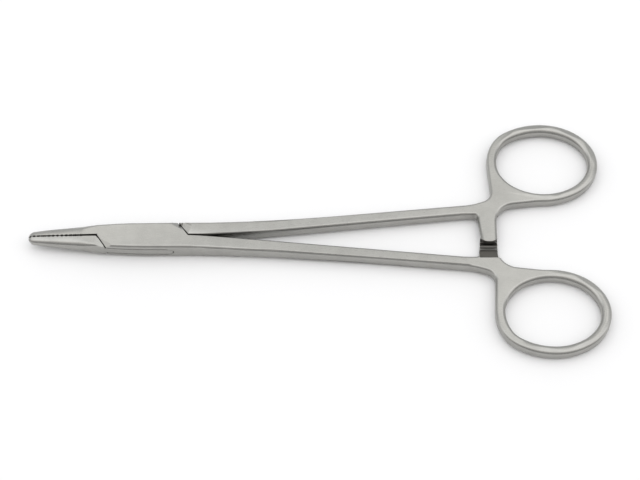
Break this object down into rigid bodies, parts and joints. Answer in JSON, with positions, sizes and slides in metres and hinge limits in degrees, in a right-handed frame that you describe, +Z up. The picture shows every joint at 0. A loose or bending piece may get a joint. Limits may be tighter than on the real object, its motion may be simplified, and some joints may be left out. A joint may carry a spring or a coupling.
{
  "type": "needle holder",
  "caption": "Surgical needle holder with short cross-cut jaws, a box lock on a rivet pin, and a ratchet between two finger rings.",
  "frame": {"origin": "pivot axis of the box lock, on the box's lower flat face, which is also the rivet pin's lower end", "axes": "+X from the pivot towards the finger rings, +Y across the jaws towards the box half's jaw, +Z up through the thickness along the pivot"},
  "size_m": [0.16, 0.0738, 0.0056],
  "materials": {
    "satin_steel": "satin-ground stainless steel",
    "pin_steel": "satin-ground stainless steel"
  },
  "bodies": {
    "box_side": {"box_half": "satin_steel", "rivet_pin": "pin_steel"},
    "tongue_side": {"tongue_half": "satin_steel"}
  },
  "joints": [
    {"name": "box_lock", "type": "hinge", "parent": "box_side", "child": "tongue_side", "pos_m": [0, 0, 0], "axis": [0, 0, 1], "range_deg": [0, 60]}
  ]
}
